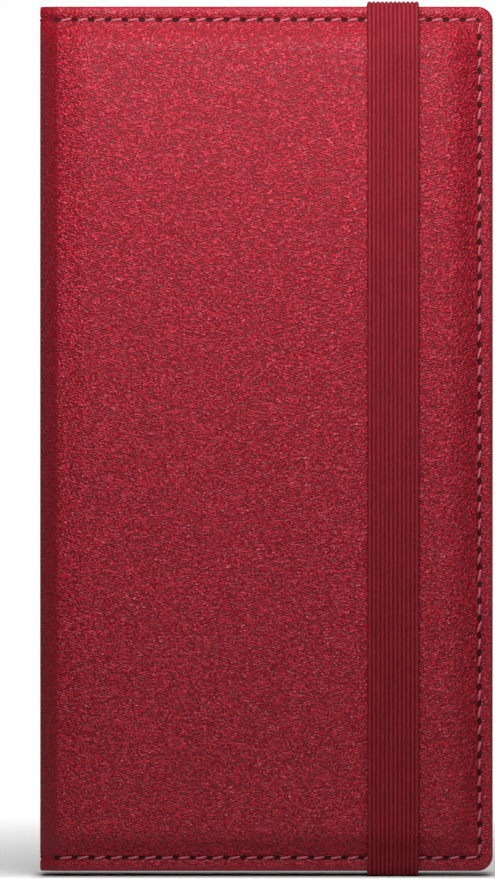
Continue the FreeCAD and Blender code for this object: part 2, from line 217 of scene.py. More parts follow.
def skin_height(q, da, db, crown):
    """Outer height of the skin: turned edge and margin with its seam channel, and on top of
    them the product of the two pad slopes, which rounds the pad's corners."""
    flat = rim_height(q) + seam_dip(inset_of(q)) * (q > RIM_SPAN * 0.8)
    foot = pad_slope(np.array(SLOPE_FOOT - 0.3))
    rise_a = (pad_slope(da) - foot) / (1 - foot)
    rise_b = (pad_slope(db) - foot) / (1 - foot)
    return flat + rise_a * rise_b * (crown - MARGIN)


def backing_height(q):
    """Inner height of the skin: solid margin, a step round the board, a slope round the pad."""
    inset = inset_of(q)
    inside = np.interp(inset, [3.2, 3.25, 3.6, 7.9], [0.0, BOARD_TOP, BOARD_TOP, 2.8])
    return np.where(q < RIM_SPAN, rim_height(q) * 0.02, inside)


def edge_lines():
    """Running distances with fine steps over the rim, the seam and the slope."""
    rim = np.linspace(0.0, RIM_SPAN, 8)
    margin = np.arange(RIM_SPAN + 0.18, 4.2, 0.2)
    slope = np.arange(4.3, 10.0, 0.42)
    return np.concatenate([rim, margin, slope])


def across_lines(length, both):
    """Running distances over a width: fine near one or both ends, wide steps between."""
    edge = edge_lines()
    start = edge if both else np.array([0.0])
    low, high = start[-1], length - edge[-1]
    middle = np.linspace(low, high, int((high - low) / 1.6) + 2)[1:-1]
    tail = length - edge[::-1]
    return np.concatenate([start, middle, tail])


def corner_plan(qa, qb):
    """Insets from the fore-edge and from the nearer short edge. Inside a corner square the two
    running distances are turned into rings: each ring keeps its own inset and becomes a
    quarter circle about the corner's centre."""
    a, b = np.broadcast_arrays(qa, qb)
    m = np.minimum(a, b)
    inside = (a < CORNER) & (b < CORNER)
    leg = np.maximum(CORNER - m, 1e-9)
    along = np.where(a <= b, CORNER - b, 2 * (CORNER - m) - (CORNER - a))
    angle = (np.pi / 2) * along / (2 * leg)
    radius = CORNER - inset_of(m)
    da = np.where(inside, CORNER - radius * np.cos(angle), inset_of(a))
    db = np.where(inside, CORNER - radius * np.sin(angle), inset_of(b))
    return da, db, m


def pad_puff(side):
    """Cloth simulation of the foam pad under its skin: a closed low pad, a little small, is
    swelled by inner pressure with its foot held, and the lift of its top is capped. Returns
    the lift in millimetres on a grid over the pad, with the grid's x and z."""
    low, high = node_box(side_name(side, "cover_foam"))
    xs = np.linspace(low[0], high[0], 38)
    zs = np.linspace(low[2], high[2], 74)
    gx, gz = np.meshgrid(xs, zs)
    edge = np.minimum(np.minimum(high[0] - gx, gz - low[2]), high[2] - gz)
    rise = 1.45 * (1 - (1 - np.clip(edge / 4.6, 0, 1)) ** 2)
    outer = np.stack([gx, LINING[side] + side * (BOARD_TOP + 0.1 + rise), gz], -1)
    inner = np.stack([gx, np.full_like(gx, LINING[side] + side * BOARD_TOP), gz], -1)
    pad = closed_shell(side_name(side, "cover_pad"), outer, inner)
    rest = read_points(pad)
    swell_with_cloth(pad, rest, side)
    lift = (read_points(pad)[:, 1] - rest[:, 1]) * side
    top = np.abs(rest[:, 1] - LINING[side]) > BOARD_TOP + 0.15
    table = np.zeros(gx.shape)
    col = np.rint((rest[top, 0] - low[0]) / (high[0] - low[0]) * (len(xs) - 1)).astype(int)
    row = np.rint((rest[top, 2] - low[2]) / (high[2] - low[2]) * (len(zs) - 1)).astype(int)
    table[row, col] = lift[top]
    for _ in range(6):
        padded = np.pad(table, 1, mode="constant")
        table = (
            padded[:-2, 1:-1] + padded[2:, 1:-1] + padded[1:-1, :-2] + padded[1:-1, 2:]
        ) / 8 + table / 2
    return pad, xs, zs, table


def swell_with_cloth(pad, rest, side):
    """Runs Cloth for twenty frames with pressure 4 and no gravity, then keeps each point
    within 0.45 mm of where it began."""
    scene = bpy.context.scene
    held = pad.vertex_groups.new(name="held")
    low_points = np.where((rest[:, 1] - LINING[side]) * side < BOARD_TOP + 0.15)[0]
    held.add(low_points.tolist(), 1.0, "REPLACE")
    cloth = pad.modifiers.new("swell", "CLOTH")
    cloth.settings.quality = 6
    cloth.settings.mass = 0.3
    cloth.settings.tension_stiffness = 40
    cloth.settings.compression_stiffness = 40
    cloth.settings.bending_stiffness = 2
    cloth.settings.use_pressure = True
    cloth.settings.uniform_pressure_force = 4
    cloth.settings.vertex_group_mass = "held"
    cloth.settings.effector_weights.gravity = 0
    cloth.collision_settings.use_collision = False
    cloth.collision_settings.use_self_collision = False
    cloth.point_cache.frame_start = 1
    cloth.point_cache.frame_end = 20
    for step in range(1, 21):
        scene.frame_set(step)
    graph = bpy.context.evaluated_depsgraph_get()
    shape = pad.evaluated_get(graph).to_mesh()
    flat = np.empty(len(shape.vertices) * 3)
    shape.vertices.foreach_get("co", flat)
    pad.evaluated_get(graph).to_mesh_clear()
    swollen = flat.reshape(-1, 3) / MM
    pad.modifiers.remove(cloth)
    scene.frame_set(1)
    move = np.clip(swollen - rest, -0.45, 0.45)
    points = rest + move
    pad.data.vertices.foreach_set("co", (points * MM).ravel())
    pad.data.update()
    pad.vertex_groups.clear()


def sample_table(xs, zs, table, x, z):
    """The table's value at x and z, straight between its grid points and 0 outside it."""
    u = np.clip((x - xs[0]) / (xs[-1] - xs[0]) * (len(xs) - 1), 0, len(xs) - 1.001)
    v = np.clip((z - zs[0]) / (zs[-1] - zs[0]) * (len(zs) - 1), 0, len(zs) - 1.001)
    i, j = u.astype(int), v.astype(int)
    fu, fv = u - i, v - j
    a = table[j, i] * (1 - fu) + table[j, i + 1] * fu
    b = table[j + 1, i] * (1 - fu) + table[j + 1, i + 1] * fu
    outside = (z < zs[0]) | (z > zs[-1]) | (x > xs[-1])
    return np.where(outside, 0.0, a * (1 - fv) + b * fv)


def girth_points(side, height, spine_x, z, steps):
    """Rows run up the cover, columns from mid-spine round the fold to the fold's end. Each row
    is a flat of the spine, then a turn as deep as that row's height and as wide as the fold,
    three parts straight slope and one part quarter ellipse, then its end point."""
    spine_steps, turn_steps = steps
    level = LINING[side]
    rise, left, z = height[:, None], spine_x[:, None], z[:, None]
    t = np.linspace(0, 1, spine_steps, endpoint=False)[None, :]
    spine = (left + 0 * t, MIDDLE + (level - MIDDLE) * t + 0 * left, z + 0 * t)
    part = np.linspace(0, 1, turn_steps, endpoint=False)[None, :]
    turn = part * np.pi / 2
    back = (1 - CREASE) * np.cos(turn) + CREASE * (1 - part)
    over = (1 - CREASE) * np.sin(turn) + CREASE * part
    fold = (FOLD_END - (FOLD_END - left) * back, level + side * rise * over, z + 0 * part)
    return np.concatenate([np.stack(np.broadcast_arrays(*p), -1) for p in (spine, fold)], 1)


def cover_grids(side, puff):
    """Outer and inner point grids of one cover skin, from mid-spine to fore-edge, with the
    rim and ring values for its UV map and the distances from the fold and the short edges."""
    _, xs, zs, table = puff
    cols = across_lines(RIGHT - FOLD_END, both=False)
    rows = across_lines(HEAD - FOOT, both=True)
    low = rows < (HEAD - FOOT) / 2
    q_short = np.where(low, rows, HEAD - FOOT - rows)
    q_fore = (RIGHT - FOLD_END) - cols
    qa, qb = np.meshgrid(q_fore, q_short)
    da, db, m = corner_plan(qa, qb)
    x = RIGHT - da
    z = np.where(low[:, None], FOOT + db, HEAD - db)
    crown = CROWN - CROWN_LOSS
    waves = 0.05 * np.sin(x * 0.11 + side) * np.sin(z * 0.05 + 0.7)
    lift = sample_table(xs, zs, table, x, z) * 0.28 + waves * smooth_step((m - 4) / 8)
    top = skin_height(m, da, db, crown) + CROWN_LOSS * np.tanh(lift / CROWN_LOSS)
    bottom = backing_height(m)
    outer = np.stack([x, LINING[side] + side * top, z], -1)
    inner = np.stack([x, LINING[side] + side * bottom, z], -1)
    steps = (7, 16)
    top_edge, z_edge = top[:, 0], z[:, 0]
    deep = top_edge > MARGIN + 0.6
    low_edge = np.where(deep, top_edge - SHEET, 0.03)
    drop = np.clip(MARGIN - top_edge, 0, None)
    outer_x = LEFT + drop * np.where(q_short < SEAM - 1, SPINE_EDGE, 1.0)
    inner_x = LEFT + np.where(deep, SHEET, MARGIN - 0.03)
    fold_top = girth_points(side, top_edge, outer_x, z_edge, steps)
    fold_low = girth_points(side, low_edge, inner_x, z_edge, steps)
    rim = 1 - smooth_step((m - 0.6) / 1.1)
    rim_row = 1 - smooth_step((q_short - 0.6) / 1.1)
    rim = np.concatenate([np.repeat(rim_row[:, None], sum(steps), 1), rim], 1)
    ring = np.concatenate([np.repeat(inset_of(q_short)[:, None], sum(steps), 1), inset_of(m)], 1)
    before = np.linspace(-sum(steps) * 0.25, -0.25, sum(steps))
    from_fold = np.concatenate([np.broadcast_to(before, fold_top.shape[:2]), x - FOLD_END], 1)
    short_edge = np.repeat(inset_of(q_short)[:, None], sum(steps), 1)
    from_short = np.concatenate([short_edge, db], 1)
    return (
        np.concatenate([fold_top, outer], 1),
        np.concatenate([fold_low, inner], 1),
        np.stack([rim, ring], -1),
        {"from_fold": from_fold, "from_short": from_short},
    )


def make_cover_skin(side):
    """One closed skin: padded cover, soft fold and half of the spine, bent across the fold."""
    puff = pad_puff(side)
    outer, inner, uv, marks = cover_grids(side, puff)
    skin = closed_shell("padded_" + side_name(side, "cover_skin"), outer, inner, uv, marks)
    finish_cover_skin(skin, side)
    pad = puff[0]
    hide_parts(side_name(side, "cover_foam"))
    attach(pad, side_name(side, "cover"))
    pad.data.materials.append(MATERIALS["foam"])


def finish_cover_skin(skin, side):
    """Hides the CAD nodes that the skin replaces, gives it the leather and bakes its place into
    its points.
    """
    replaced = [side_name(side, "cover_skin"), side_name(side, "fold_skin")]
    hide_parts(*replaced, *(["spine_skin"] if side == FRONT else []))
    skin.data.materials.append(MATERIALS["leather"])
    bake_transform(skin)


# ---------------------------------------------------------------- stitches


def capsule(length, radius, bow):
    """One thread: eight-sided rings along a bowed line, thinner where it enters its holes."""
    t = np.linspace(-1, 1, 9)
    size = radius * np.sqrt(np.clip(1 - np.abs(t) ** 4.0, 0.05, 1))
    centre = np.stack([t * length / 2, bow * (1 - t**2) - 0.10, 0 * t], -1)
    turn = np.linspace(0, 2 * np.pi, 8, endpoint=False)
    ring = np.stack([0 * turn, np.cos(turn), np.sin(turn)], -1)
    points = centre[:, None, :] + size[:, None, None] * ring[None, :, :]
    return points.reshape(-1, 3), grid_quads(9, 8, wrap=True)


def needle_hole_shade(length, width):
    """The painted shade round a needle hole: a dark ellipse laid on the seam's channel."""
    rings = np.linspace(0.08, 1, 4)[:, None]
    turn = np.linspace(0, 2 * np.pi, 12, endpoint=False)[None, :]
    x = rings * np.cos(turn) * length / 2
    z = rings * np.sin(turn) * width / 2
    y = seam_dip(SEAM + z) - seam_dip(np.array(SEAM)) + 0.03 - 0.02 * rings
    return np.stack([x, y, z], -1).reshape(-1, 3), grid_quads(4, 12, wrap=True)


RISE = {"hole": 0.0, "thread": 0.15, "sunk": 0.03}  # how far each kind stands proud
THREAD_LENGTH, THREAD_RADIUS, THREAD_BOW = 2.2, 0.23, 0.2
HOLE_SIZE = (1.5, 0.95)
LEAN = (10.0, 2.5)  # mean and spread of a stitch's lean in degrees


def seam_line(start, end, along, out, kind="thread"):
    """Holes at even steps of about one pitch from start to end, and a thread between each
    two. Each place is a centre, the direction along the seam and the outward direction."""
    start, end = np.array(start, float), np.array(end, float)
    count = max(int(round(np.linalg.norm(end - start) / PITCH)), 1)
    holes = start + (end - start) * np.linspace(0, 1, count + 1)[:, None]
    middles = (holes[1:] + holes[:-1]) / 2
    return [(p, along, out, "hole") for p in holes] + [(p, along, out, kind) for p in middles]


def stitch_places(side):
    """The seam of a cover: along the head, the foot and the fore-edge."""
    level = LINING[side] + side * (MARGIN + float(seam_dip(np.array(SEAM))))
    left, right = FOLD_END - 0.2, RIGHT - SEAM
    low, high = FOOT + SEAM, HEAD - SEAM
    out = (0, side, 0)
    return (
        seam_line((left, level, high), (right, level, high), (1, 0, 0), out, "sunk")
        + seam_line((left, level, low), (right, level, low), (1, 0, 0), out)
        + seam_line((right, level, low + PITCH), (right, level, high - PITCH), (0, 0, 1), out)
        + seam_line((right, level, low), (right, level, low + PITCH), (0, 0, 1), out)[2:]
        + seam_line((right, level, high - PITCH), (right, level, high), (0, 0, 1), out)[2:]
    )


def spine_places():
    """The two short rows across the spine."""
    x = LEFT - float(seam_dip(np.array(SEAM)))
    low, high = LINING[FRONT] + 0.3, LINING[BACK] - 0.3
    rows = (FOOT + SEAM, HEAD - SEAM)
    return [
        place
        for z in rows
        for place in seam_line((x, low, z), (x, high, z), (0, 1, 0), (-1, 0, 0), "sunk")
    ]


def make_stitching(name, places, node, body, seed):
    """All stitches of one seam in one mesh: threads that bow out of the channel, turned a few
    degrees off the seam line, and dark patches of painted shade where they go down."""
    rng = np.random.default_rng(seed)
    thread, thread_quads = capsule(THREAD_LENGTH, THREAD_RADIUS, THREAD_BOW)
    hole, hole_quads = needle_hole_shade(*HOLE_SIZE)
    points, quads, kinds = [], [], []
    count = 0
    for centre, along, out, kind in places:
        along, out = np.array(along, float), np.array(out, float)
        across = np.cross(along, out)
        upright = along[2] > 0.5
        lean = math.radians(rng.normal(*LEAN)) * (1 if upright else -1)
        stretch = rng.normal(1.0, 0.05)
        shape, faces = (hole, hole_quads) if kind == "hole" else (thread, thread_quads)
        lean = 0.0 if kind == "hole" else lean
        u = along * math.cos(lean) + across * math.sin(lean)
        w = across * math.cos(lean) - along * math.sin(lean)
        base = centre + out * RISE[kind]
        points.append(base + shape[:, :1] * stretch * u + shape[:, 1:2] * out + shape[:, 2:] * w)
        quads.append(faces + count)
        kinds.append(np.full(len(faces), int(kind == "hole")))
        count += len(shape)
    obj = new_piece(name, np.concatenate(points), np.concatenate(quads))
    obj.data.materials.append(MATERIALS["thread"])
    obj.data.materials.append(MATERIALS["needle_shade"])
    obj.data.polygons.foreach_set("material_index", np.concatenate(kinds))
    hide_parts(node)
    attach(obj, body)


# ---------------------------------------------------------------- elastic strap

RIBS = 12
STRAP_WIDTH = RUN_HIGH[0] - RUN_LOW[0]
NARROW, NARROW_SPAN = 0.02, 14.0  # the strap is this much narrower at the foot


def rib_section():
    """Half-round ribs across the strap: distance from its middle, and the height of the outer
    face; the last points go round to the flat inner face."""
    u = np.linspace(-1, 1, RIBS * 8 + 1)
    phase = (u + 1) / 2 * RIBS * np.pi
    rib = np.abs(np.sin(phase)) ** 0.7
    shoulder = np.clip((1 - np.abs(u)) / 0.05, 0, 1) ** 0.5
    top = 0.62 + 0.33 * rib * (0.6 + 0.4 * shoulder)
    low = np.full(9, 0.05)
    across = np.concatenate([u, np.linspace(1, -1, 9)]) * STRAP_WIDTH / 2
    height = np.concatenate([top, low])
    return across, height


def carry_section(name, path, normals, width_scale):
    """The rib section carried along a path in the YZ plane, closed at both ends."""
    across, height = rib_section()
    steps, count = len(path), len(across)
    centre_x = (RUN_LOW[0] + RUN_HIGH[0]) / 2
    x = centre_x + across[None, :] * width_scale[:, None]
    y = path[:, 0][:, None] + normals[:, 0][:, None] * height[None, :]
    z = path[:, 1][:, None] + normals[:, 1][:, None] * height[None, :]
    points = np.stack([x, y, z], -1).reshape(-1, 3)
    quads = grid_quads(steps, count, wrap=True)
    run = np.concatenate([[0], np.cumsum(np.hypot(*np.diff(path, axis=0).T))])
    uv = np.stack(
        [np.repeat(across[None, :], steps, 0), np.repeat(run[:, None], count, 1)], -1
    )
    obj = new_piece(name, points, quads, uv.reshape(-1, 2))
    close_ends(obj, steps, count)
    return outward(obj)


def close_ends(obj, steps, count):
    """Caps the two open rings."""
    work = bmesh.new()
    work.from_mesh(obj.data)
    work.verts.ensure_lookup_table()
    for start in (0, (steps - 1) * count):
        work.faces.new([work.verts[start + i] for i in range(count)])
    work.to_mesh(obj.data)
    work.free()


def strap_path():
    """Inner face of the strap from over the head, down the front and under the foot: flats, a
    bend round each cover edge, a straight slope to the crown and the long run."""
    lin = LINING[FRONT]
    crown_y = lin - CROWN - 0.06
    half = [
        (MIDDLE - 5.5, HEAD + 0.07),
        (lin + 0.4, HEAD + 0.08),
        (lin - 0.3, HEAD + 0.09),
        (lin - 1.0, HEAD + 0.09),
        (lin - 1.62, HEAD - 0.13),
        (lin - 1.98, HEAD - 0.7),
        (lin - 2.12, HEAD - 1.6),
        (lin - 2.9, HEAD - 4.8),
        (lin - 3.58, HEAD - 6.9),
        (lin - 3.68, HEAD - 8.2),
        (crown_y, HEAD - 10.5),
    ]
    head = np.array(half)
    foot = head.copy()
    foot[:, 1] = FOOT + (HEAD - foot[:, 1])
    middle_z = np.linspace(head[-1, 1], foot[-1, 1], 60)[1:-1]
    middle = np.stack([np.full_like(middle_z, crown_y), middle_z], -1)
    return np.concatenate([head, middle, foot[::-1]])


def refine(path, step):
    """Evenly spaced points along a smooth line through the path."""
    run = np.concatenate([[0], np.cumsum(np.hypot(*np.diff(path, axis=0).T))])
    wanted = np.linspace(0, run[-1], int(run[-1] / step) + 1)
    y = np.interp(wanted, run, path[:, 0])
    z = np.interp(wanted, run, path[:, 1])
    for _ in range(3):
        y[1:-1] = (y[:-2] + 2 * y[1:-1] + y[2:]) / 4
        z[1:-1] = (z[:-2] + 2 * z[1:-1] + z[2:]) / 4
    return np.stack([y, z], -1)


def path_steps(path):
    """Unit steps along a path."""
    d = np.gradient(path, axis=0)
    return d / np.linalg.norm(d, axis=1)[:, None]


def make_strap():
    """The run from over the head to under the foot on the strap's body, and the two short legs
    to the back cover."""
    path = refine(strap_path(), 0.55)
    d = path_steps(path)
    normals = np.stack([d[:, 1], -d[:, 0]], -1)
    normals[0], normals[-1] = (0, 1), (0, -1)
    narrowed = smooth_step((FOOT + NARROW_SPAN - path[:, 1]) / NARROW_SPAN)
    width = 1 - NARROW * narrowed
    run = carry_section("elastic_run", path, normals, width)
    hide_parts("strap_run")
    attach(run, "strap")
    run.data.materials.append(MATERIALS["elastic"])
    start_y = path[0, 0]
    anchor_y = node_box("strap_tail_top")[1][1] - 0.1
    ys = np.linspace(anchor_y, start_y, 26)
    sag = 0.16 * np.sin(np.pi * np.clip((ys - start_y) / (anchor_y - start_y), 0, 1)) ** 2
    for place, z, n, w in (
        ("leg_top", path[0, 1], 1.0, width[0]),
        ("leg_bottom", path[-1, 1], -1.0, width[-1]),
    ):
        leg_path = np.stack([ys, z - n * sag], -1)
        leg_normals = np.tile([0.0, n], (len(ys), 1))
        leg = carry_section("elastic_" + place, leg_path, leg_normals, np.full(len(ys), w))
        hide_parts("strap_" + place)
        leg.data.materials.append(MATERIALS["elastic"])
        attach(leg, "back_cover")
        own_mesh(leg)


# ---------------------------------------------------------------- linings and the block's back


def lining_path(side):
    """Outer face of the inside lining from mid-spine round the inner corner to the fore-edge."""
    x, level, r = LEFT + MARGIN, LINING[side], 0.5
    straight = [(x, MIDDLE + (level - side * r - MIDDLE) * t) for t in np.linspace(0, 1, 8)]
    turn = np.linspace(0, np.pi / 2, 9)[1:]
    bend = [(x + r - r * math.cos(a), level - side * (r - r * math.sin(a))) for a in turn]
    flat = [(v, level) for v in np.linspace(x + r, RIGHT - LINING_EDGE, 44)[1:]]
    return np.array(straight + bend + flat)


def make_lining(side):
    """A thin sheet that follows the inside of the cover and half of the spine, with rounded
    corners at the fore-edge, closed as a thin shell."""
    path = lining_path(side)
    d = path_steps(path)
    inward = np.stack([np.abs(d[:, 1]), -side * np.abs(d[:, 0])], -1)
    t = np.linspace(-1, 1, 41)
    low, high = FOOT + LINING_EDGE, HEAD - LINING_EDGE
    radius = CORNER - LINING_EDGE
    from_end = np.clip(radius - (path[-1, 0] - path[:, 0]), 0, radius)
    cut = np.where(path[:, 0] > path[-1, 0] - radius, radius - np.sqrt(radius**2 - from_end**2), 0)
    cut[-1] = radius - 0.2
    half = (high - low) / 2 - cut
    z = (low + high) / 2 + half[None, :] * t[:, None]
    shape = z.shape
    outer = np.stack(
        [np.broadcast_to(path[:, 0], shape), np.broadcast_to(path[:, 1], shape), z], -1
    )
    shift = np.zeros_like(outer)
    shift[..., :2] = inward * LINING_SHEET
    obj = closed_shell(side_name(side, "lining"), outer, outer + shift)
    obj.data.materials.append(MATERIALS["lining"])
    spine_too = ["spine_lining"] if side == FRONT else []
    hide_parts(side_name(side, "cover_lining"), *spine_too)
    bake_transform(obj)


def make_bent_strip(name, node, material, wave=0.0):
    """The node's box as a closed strip with fine steps through the block."""
    low, high = node_box(node)
    y = np.linspace(low[1], high[1], 61)
    z = np.linspace(low[2], high[2], 25)
    gy, gz = np.meshgrid(y, z)
    bump = wave * np.sin(gy * 9.0) * np.sin(gz * 1.3)
    outer = np.stack([low[0] + bump, gy, gz], -1)
    inner = np.stack([high[0] + 0 * gy, gy, gz], -1)
    obj = closed_shell(name, outer, inner)
    finish_block_back(obj, node, material)


def make_sewing():
    """Sewing thread: at each station a round cord that dips between the signatures."""
    low, high = node_box("sewing_thread")
    stations = np.linspace(low[2] + 0.6, high[2] - 0.6, 7)
    y = np.linspace(low[1], high[1], 73)
    turn = np.linspace(0, 2 * np.pi, 6, endpoint=False)
    points, quads = [], []
    for z0 in stations:
        for shift in (-0.3, 0.3):
            x = (low[0] + high[0]) / 2 + 0.02 * np.cos(y * 5.5)
            z = z0 + shift + 0.12 * np.sin(y * 2.75 + shift)
            centre = np.stack([x, y, z], -1)
            ring = np.stack([0.07 * np.cos(turn), 0 * turn, 0.16 * np.sin(turn)], -1)
            block = (centre[:, None] + ring[None]).reshape(-1, 3)
            quads.append(grid_quads(73, 6, start=sum(len(p) for p in points), wrap=True))
            points.append(block)
    obj = outward(new_piece("sewing_cords", np.concatenate(points), np.concatenate(quads)))
    finish_block_back(obj, "sewing_thread", "sewing_thread")


def finish_block_back(obj, node, material):
    """Gives the strip its material, hides the CAD node it replaces and bakes its place into its
    points.
    """
    obj.data.materials.append(MATERIALS[material])
    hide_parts(node)
    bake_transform(obj)


# ---------------------------------------------------------------- leaves


PAGE_CORNER = 3.0
LEAF_SKIN = 0.015  # taken off each face, so that neighbouring leaves stay apart


def make_leaf(number):
    """A paper leaf as a thin closed sheet with rounded fore-edge corners and fine steps over
    its first twenty millimetres from the gutter."""
    low, high = node_box(f"leaf_{number}")
    radius = PAGE_CORNER
    x = np.concatenate(
        [
            np.linspace(low[0], low[0] + 20, 25)[:-1],
            np.linspace(low[0] + 20, high[0] - radius, 30)[:-1],
            high[0] - radius + radius * np.sin(np.linspace(0, np.pi / 2, 9)),
        ]
    )
    t = np.linspace(-1, 1, 49)
    into = np.clip(x - (high[0] - radius), 0, radius)
    cut = radius - np.sqrt(np.clip(radius**2 - into**2, 0.04, None))
    half = (high[2] - low[2]) / 2 - cut
    z = (low[2] + high[2]) / 2 + half[None, :] * t[:, None]
    gx = np.broadcast_to(x, z.shape)
    outer = np.stack([gx, np.full(z.shape, low[1] + LEAF_SKIN), z], -1)
    inner = np.stack([gx, np.full(z.shape, high[1] - LEAF_SKIN), z], -1)
    obj = closed_shell(f"paper_leaf_{number}", outer, inner)
    obj.data.materials.append(MATERIALS["page"])
    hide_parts(f"leaf_{number}")
    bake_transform(obj)


# ---------------------------------------------------------------- materials


class Tree:
    """A short way to add nodes and links to one node tree."""

    def __init__(self, tree):
        self.tree = tree

    def add(self, kind, **settings):
        node = self.tree.nodes.new("ShaderNode" + kind)
        for key, value in settings.items():
            setattr(node, key, value)
        return node

    def link(self, a, b):
        self.tree.links.new(a, b)

    def feed(self, socket, value):
        if hasattr(value, "is_output"):
            self.link(value, socket)
        else:
            socket.default_value = value

    def math(self, operation, a, b=0.0, c=0.0, clamp=False):
        node = self.add("Math", operation=operation, use_clamp=clamp)
        for socket, value in zip(node.inputs, (a, b, c)):
            self.feed(socket, value)
        return node.outputs[0]

    def mix(self, factor, a, b, mode="MIX"):
        node = self.add("Mix", data_type="RGBA", blend_type=mode, clamp_factor=True)
        self.feed(node.inputs[0], factor)
        self.feed(node.inputs[6], a)
        self.feed(node.inputs[7], b)
        return node.outputs[2]

    def ramp(self, value, low, high, to_low=0.0, to_high=1.0):
        node = self.add("MapRange", clamp=True)
        for socket, number in zip(node.inputs, (value, low, high, to_low, to_high)):
            self.feed(socket, number)
        return node.outputs[0]

    def noise(self, vector, scale, detail=3.0, rough=0.5, distortion=0.0):
        node = self.add("TexNoise")
        self.feed(node.inputs["Vector"], vector)
        values = {"Scale": scale, "Detail": detail, "Roughness": rough, "Distortion": distortion}
        for key, value in values.items():
            node.inputs[key].default_value = value
        return node.outputs["Fac"]

    def voronoi(self, vector, scale, feature="F1", smooth=None):
        node = self.add("TexVoronoi", feature=feature)
        self.feed(node.inputs["Vector"], vector)
        node.inputs["Scale"].default_value = scale
        if smooth is not None:
            node.inputs["Smoothness"].default_value = smooth
        return node.outputs["Distance"]

    def vector_math(self, operation, a, b, socket=1):
        """A vector and what the numbered or named socket takes, to a vector."""
        node = self.add("VectorMath", operation=operation)
        self.feed(node.inputs[0], a)
        self.feed(node.inputs[socket], b)
        return node.outputs[0]

    def xyz(self, vector):
        """The three numbers of a vector."""
        node = self.add("SeparateXYZ")
        self.link(vector, node.inputs[0])
        return node.outputs[0], node.outputs[1], node.outputs[2]

    def grey(self, value):
        node = self.add("CombineColor")
        for socket in node.inputs:
            self.link(value, socket)
        return node.outputs[0]

    def scaled(self, vector, size):
        node = self.add("Mapping")
        self.link(vector, node.inputs["Vector"])
        node.inputs["Scale"].default_value = size
        return node.outputs["Vector"]


def new_group(name, inputs, outputs):
    """An empty node group with named sockets."""
    tree = bpy.data.node_groups.new(name, "ShaderNodeTree")
    for label, kind, default in inputs:
        socket = tree.interface.new_socket(label, in_out="INPUT", socket_type=kind)
        if default is not None:
            socket.default_value = default
    for label, kind in outputs:
        tree.interface.new_socket(label, in_out="OUTPUT", socket_type=kind)
    t = Tree(tree)
    return t, tree.nodes.new("NodeGroupInput").outputs, tree.nodes.new("NodeGroupOutput").inputs


VECTOR, VALUE = "NodeSocketVector", "NodeSocketFloat"


def leather_grain_group():
    """Pebbled grain: cells of about 0.65 mm, pulled about by a fine noise into short wavy
    ridges that run together along a slow, turning direction, with small cells and pores
    between them. Height and a slow patch value."""
    t, given, out = new_group(
        "leather grain",
        [("Vector", VECTOR, None), ("Wander", VALUE, 0.35)],
        [("Height", VALUE), ("Patch", VALUE)],
    )
    vector = given["Vector"]
    shift = t.add("TexNoise")
    t.link(vector, shift.inputs["Vector"])
    shift.inputs["Scale"].default_value = 1000.0
    shift.inputs["Detail"].default_value = 2.0
    offset = t.vector_math("SUBTRACT", shift.outputs["Color"], (0.5, 0.5, 0.5))
    reach = t.math("MULTIPLY", given["Wander"], 0.0011)
    moved = t.vector_math("ADD", vector, t.vector_math("SCALE", offset, reach, "Scale"))
    leaned = t.add("Mapping")
    t.link(moved, leaned.inputs["Vector"])
    leaned.inputs["Rotation"].default_value = (0.0, math.radians(32), 0.0)
    leaned.inputs["Scale"].default_value = (0.85, 0.9, 1.15)
    cells = t.voronoi(leaned.outputs["Vector"], 1950.0, "SMOOTH_F1", 0.15)
    ridges = t.noise(leaned.outputs["Vector"], 2600.0, 0.0, 0.4, 0.2)
    fine = t.voronoi(moved, 3300.0, "SMOOTH_F1", 0.4)
    pores = t.noise(vector, 5200.0, 2.0)
    patch = t.noise(vector, 120.0, 3.0)
    pebble = t.ramp(cells, 0.12, 0.55, 1.0, 0.0)
    ridge = t.ramp(ridges, 0.38, 0.62)
    small = t.ramp(fine, 0.08, 0.62, 1.0, 0.0)
    body = t.math("MULTIPLY_ADD", pebble, 0.42, t.math("MULTIPLY", ridge, 0.48))
    body = t.math("MULTIPLY_ADD", small, 0.06, body)
    height = t.math("MULTIPLY_ADD", pores, 0.04, body)
    t.link(height, out["Height"])
    t.link(patch, out["Patch"])
    return t.tree


def weave_group():
    """Plain weave: two crossed sets of rounded threads at a stated count per metre."""
    t, given, out = new_group(
        "plain weave",
        [("Vector", VECTOR, None), ("Count", VALUE, 2500.0)],
        [("Height", VALUE), ("Mask", VALUE)],
    )
    x, y, z = t.xyz(given["Vector"])
    turns = t.math("MULTIPLY", given["Count"], 3.1416)
    a = t.math("SINE", t.math("MULTIPLY", t.math("ADD", x, y), turns))
    b = t.math("SINE", t.math("MULTIPLY", z, turns))
    over = t.math("MULTIPLY", a, b)
    mask = t.math("GREATER_THAN", over, 0.0)
    high = t.math("MAXIMUM", t.math("ABSOLUTE", a), t.math("ABSOLUTE", b))
    slub = t.noise(given["Vector"], 1400.0, 2.0)
    height = t.math("MULTIPLY_ADD", high, 0.7, t.math("MULTIPLY", slub, 0.5))
    t.link(height, out["Height"])
    t.link(mask, out["Mask"])
    return t.tree


def paper_group():
    """Paper fibre: long soft flecks and a faint cloud."""
    t, given, out = new_group(
        "paper fibre", [("Vector", VECTOR, None)], [("Height", VALUE), ("Cloud", VALUE)]
    )
    flecks = t.noise(t.scaled(given["Vector"], (1.0, 1.0, 0.35)), 5200.0, 3.0, 0.7, 0.6)
    cloud = t.noise(given["Vector"], 90.0, 3.0)
    t.link(flecks, out["Height"])
    t.link(cloud, out["Cloud"])
    return t.tree


def start_material(name):
    material = bpy.data.materials.new(name)
    material.use_nodes = True
    t = Tree(material.node_tree)
    shader = material.node_tree.nodes["Principled BSDF"]
    where = t.add("TexCoord").outputs["Object"]
    return material, t, shader, where


